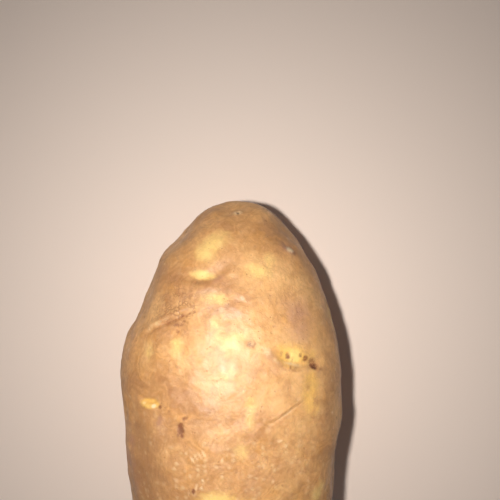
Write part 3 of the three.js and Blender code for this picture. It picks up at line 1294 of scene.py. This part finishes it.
    def stray_marks(self) -> list[Mark]:
        """The scratch, the terminal bud's ring and pinhole, single specks and scuffs, and a painted shadow by
        a raised pale dot.
        """
        comb = [(-10.2, 106.9), (-9.6, 105.0), (-9.0, 103.1), (-8.4, 101.2)]
        return [
            *[pale(y, angle, 0.5, 1.5, 0.5, tilt=38) for y, angle in comb],
            *[russet(y + 0.3, angle - 0.95, 0.4, 1.5, 0.3, tilt=38) for y, angle in comb],
            pale(52, 40.6, 1.6, 1.05, 1.7, height=0.3),
            # Painted shadow: russet below and right of the raised pale dot.
            russet(50.7, 38.7, 1.3, 0.8, 0.75, tilt=15),
            pale(-5.1, 66.9, 1.3, 0.6, 0.55, tilt=10),
            pale(-6.8, 63.9, 0.91, 0.59, 0.5),
            pale(-16.5, 102.2, 0.6, 0.55, 0.6),
            pale(-18.7, 105.4, 0.5, 1.17, 0.6, tilt=-12),
            pale(-19, 102.6, 0.5, 1, 0.45, tilt=20),
            russet(-20.1, 106.9, 0.6, 0.95, tilt=10),
            russet(-19.3, 104.4, 0.34, 0.78, 0.5, tilt=-10),
            russet(61.9, 50.2, 0.78, 0.65, 0.65),
            russet(12.4, 148, 0.78, 0.65, 0.45),
            pale(64.8, 85.6, 2.1, 1.7, 0.55),
            dark(64.8, 85.4, 0.5, 0.6, 0.9),
            russet(3.5, 64, 6.8, 0.3, 0.36, tilt=27),
            pale(2.6, 63.4, 5.6, 0.42, 0.4, tilt=27),
            russet(37.2, 76, 4.6, 0.21, 0.35, tilt=4),
            russet(-38.4, 96, 1.17, 0.91, 0.7),
            russet(-30, 20, 1.04, 1.43, 0.7),
            dark(24, 350, 0.65, 0.91, 0.7),
            russet(-8, 215, 1.56, 1.04, 0.7),
            russet(46, 300, 1.17, 1.04, 0.7),
        ]

    def cover_marks(self) -> list[Mark]:
        """Where the skin is netted, streaked or beaded."""
        return [
            net(35, 121, 8, 7, tilt=20),
            net(46, 66, 6.5, 6, 0.15),
            net(32, 55, 6, 9, 0.15),
            net(-12, 75, 17, 8, 0.15),
            net(-40, 200, 14, 12, 0.5),
            net(20, 310, 14, 16, 0.4),
            streak(-15, 130, 8, 13, 0.9),
            streak(-34, 60, 14, 12, 0.4),
            streak(40, 56, 11, 15, 0.45),
            streak(15, 5, 9, 20, 0.5),
            beads(-14, 88, 26, 12),
            beads(-34, 110, 24, 14, 0.8),
            beads(-30, 300, 24, 20, 0.6),
        ]

    def relief(self, points: Array) -> Array:
        """Height at body points of what the solid has too: swells, buds, creases, terminal bud and scar."""
        forms = [*self.swells, *self.brows(), self.left_crease, self.scratch, self.terminal, self.scar]
        return sum(form.relief(self.body, points) for form in forms)

    def skin_texture(self, points: Array) -> Array:
        """The low unevenness of the skin, in millimetres: three sizes of random waves."""
        return sum(height * waves.at(points) for height, waves in self.unevenness)

    def paints(self, points: Array) -> tuple[dict[Tint, Array], Array]:
        """Every mark laid on the skin.

        Args:
            points: Body points, one a row.

        Returns:
            The cover of each paint, 0 to 1, and the height that the marks add.
        """
        covers = {tint: np.zeros(len(points)) for tint in Tint}
        height = np.zeros(len(points))
        marks = self.tone_marks() + self.yellow_marks() + self.mauve_marks() + self.cover_marks()
        marks += self.lenticels.marks()
        small = self.crease_marks() + self.right_bud_marks() + self.left_bud_marks() + self.stray_marks()
        small += self.specks.marks()
        marks += [replace(mark, edge=FIRM) for mark in small]
        for mark in marks:
            near, cover = mark.cover(self.body, points)
            covers[mark.tint][near] = np.maximum(covers[mark.tint][near], mark.strength * cover)
            height[near] += (mark.height + RISE.get(mark.tint, 0) * mark.strength) * cover
        # Painted shade: russet laid in the hollows of buds and the grooves of creases. The heel scar's russet
        # is its own cork.
        forms = [self.small_bud, self.right_bud, self.heel_bud, *spiral_brows()]
        forms += [self.left_crease, self.scratch]
        shade_and_cork = [self.groove_shade * form.shade(self.body, points) for form in forms]
        shade_and_cork.append(self.scar.cork(self.body, points))
        covers[Tint.RUSSET] = np.max([covers[Tint.RUSSET], *shade_and_cork], axis=0)
        return {tint: np.clip(cover, 0, 1) for tint, cover in covers.items()}, height

    def build(self) -> bpy.types.Object:
        """The dressed skin as one closed object at the origin, with its paints as attributes.

        Returns:
            The skin.
        """
        directions, quads = self.grid.directions_and_quads()
        plain = self.body.points(directions)
        normals = self.body.normals(plain)
        covers, marked = self.paints(plain)
        form = self.relief(plain)
        solid_skin = self.body.pressed(plain + normals * form[:, None])
        fine = (self.skin_texture(plain) + marked)[:, None]
        skin = self.body.pressed(plain + normals * (form[:, None] + fine))
        step = self.to_solid(solid_skin)
        mesh = self.mesh(skin + step, quads)
        for tint, cover in covers.items():
            attribute = mesh.attributes.new(tint.value, "FLOAT", "POINT")
            attribute.data.foreach_set("value", cover.astype(np.float32))
        mesh.materials.append(self.finish.material())
        skin_object = bpy.data.objects.new("potato_skin", mesh)
        bpy.context.scene.collection.objects.link(skin_object)
        return skin_object

    def to_solid(self, points: Array) -> Array:
        """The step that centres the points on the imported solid, in millimetres. Heights stay as they are."""
        low, high = (np.array(corner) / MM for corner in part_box(NODE))
        step = (low + high) / 2 - (points.min(axis=0) + points.max(axis=0)) / 2
        return step * [1, 1, 0]

    def mesh(self, points: Array, quads: Array) -> bpy.types.Mesh:
        """The skin's mesh, smooth-shaded.

        Args:
            points: Its points in millimetres, one a row.
            quads: Rows of four point numbers, anticlockwise from outside.

        Returns:
            The mesh, in metres.
        """
        mesh = bpy.data.meshes.new("potato_skin")
        mesh.vertices.add(len(points))
        mesh.vertices.foreach_set("co", (points * MM).astype(np.float32).ravel())
        mesh.loops.add(quads.size)
        mesh.loops.foreach_set("vertex_index", quads.astype(np.int32).ravel())
        mesh.polygons.add(len(quads))
        mesh.polygons.foreach_set("loop_start", np.arange(0, quads.size, 4, dtype=np.int32))
        mesh.polygons.foreach_set("use_smooth", np.ones(len(quads), dtype=bool))
        mesh.update(calc_edges=True)
        mesh.validate()
        return mesh


@dataclass(frozen=True)
class Studio:
    """A pale floor, a small soft lamp beside the lens, wide weak panels all round, and the camera.

    Places are in metres, over the tuber's own frame. The camera looks straight down with the rose end up.
    """

    camera_at: tuple[float, float, float] = (0.0063, 0.0516, 0.267)
    near_clip: float = 0.01
    image_side: float = 500.0
    focal_pixels: float = 691.0
    lamp_left: float = 0.030
    lamp_size: float = 0.012
    lamp_power: float = 0.25
    lamp_colour: tuple[float, float, float] = (1.0, 0.965, 0.91)
    lamp_target: tuple[float, float, float] = (0.012, 0.018, 0.03)
    lamp_spread: float = 110.0
    panel_angles: tuple[float, ...] = (45, 135, 225, 315)
    panel_distance: float = 0.9
    panel_height: float = 0.42
    panel_size: float = 0.7
    panel_power: float = 0.24
    panel_target: tuple[float, float, float] = (0, 0, 0.03)
    sky: tuple[float, float, float, float] = (0.93, 0.94, 1.0, 1.0)
    sky_strength: float = 0.06
    floor_side: float = 5.0
    floor_colour: tuple = linear(238, 220, 208)
    floor_roughness: float = 0.7
    floor_drop: float = 0.00005

    def build(self) -> None:
        """Makes the floor, the lights and the camera."""
        self.floor()
        self.lamp()
        self.panels()
        self.world()
        self.camera()

    def floor(self) -> None:
        """A wide plain sheet just under the tuber's resting spot."""
        reach = self.floor_side / 2
        corners = [(-reach, -reach), (reach, -reach), (reach, reach), (-reach, reach)]
        mesh = bpy.data.meshes.new("floor")
        mesh.from_pydata([(x, y, -self.floor_drop) for x, y in corners], [], [(0, 1, 2, 3)])
        material = bpy.data.materials.new("floor_finish")
        material.use_nodes = True
        shader = material.node_tree.nodes["Principled BSDF"]
        shader.inputs["Base Color"].default_value = self.floor_colour
        shader.inputs["Roughness"].default_value = self.floor_roughness
        mesh.materials.append(material)
        sheet = bpy.data.objects.new("floor", mesh)
        bpy.context.scene.collection.objects.link(sheet)

    def disc(self, name: str, size: float, power: float, at: Array, target: tuple) -> bpy.types.Light:
        """A disc light that faces a target.

        Args:
            name: Its name.
            size: The disc's width.
            power: Its power in watts.
            at: Where it is.
            target: What it faces.

        Returns:
            The light's data.
        """
        data = bpy.data.lights.new(name, "AREA")
        data.shape = "DISK"
        data.size = size
        data.energy = power
        lamp = bpy.data.objects.new(name, data)
        lamp.location = at
        lamp.rotation_euler = self.facing(np.array(target) - at)
        bpy.context.scene.collection.objects.link(lamp)
        return data

    def facing(self, way: Array) -> tuple[float, float, float]:
        """The turn, as Euler angles, that points an object's own -Z along a direction."""
        tip = np.arctan2(np.hypot(way[0], way[1]), -way[2])
        spin = np.arctan2(way[1], way[0]) - np.pi / 2
        return float(tip), 0.0, float(spin)

    def lamp(self) -> None:
        """The main light, left of the lens, which throws the narrow shadow along the right side."""
        at = np.array(self.camera_at) - [self.lamp_left, 0, 0]
        data = self.disc("lamp", self.lamp_size, self.lamp_power, at, self.lamp_target)
        data.color = self.lamp_colour
        data.spread = np.radians(self.lamp_spread)

    def panels(self) -> None:
        """Wide weak lights round the tuber, for the sides that the lamp doesn't reach."""
        for number, angle in enumerate(np.radians(self.panel_angles)):
            out = np.array([np.cos(angle), np.sin(angle), 0]) * self.panel_distance
            at = out + [0, 0, self.panel_height]
            self.disc(f"panel_{number}", self.panel_size, self.panel_power, at, self.panel_target)

    def world(self) -> None:
        """A dim even sky."""
        world = bpy.data.worlds.new("sky")
        world.use_nodes = True
        background = world.node_tree.nodes["Background"]
        background.inputs["Color"].default_value = self.sky
        background.inputs["Strength"].default_value = self.sky_strength
        bpy.context.scene.world = world

    def camera(self) -> None:
        """The camera straight above, its lens set from the focal length in pixels."""
        camera = bpy.data.cameras.new("camera")
        camera.lens = self.focal_pixels / self.image_side * camera.sensor_width
        camera.clip_start = self.near_clip
        eye = bpy.data.objects.new("camera", camera)
        eye.location = self.camera_at
        bpy.context.scene.collection.objects.link(eye)
        bpy.context.scene.camera = eye
        bpy.context.scene.view_settings.view_transform = "Standard"


def main() -> None:
    """Builds the dressed tuber and its studio."""
    logging.basicConfig(level=logging.INFO)
    skin = Tuber().build()
    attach(skin, BODY)
    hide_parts(NODE)
    log.info("potato_skin: %d quads for node %s", len(skin.data.polygons), NODE)
    Studio().build()
    log.info("studio: floor, lamp, panels, sky and camera")


if __name__ == "__main__":
    main()
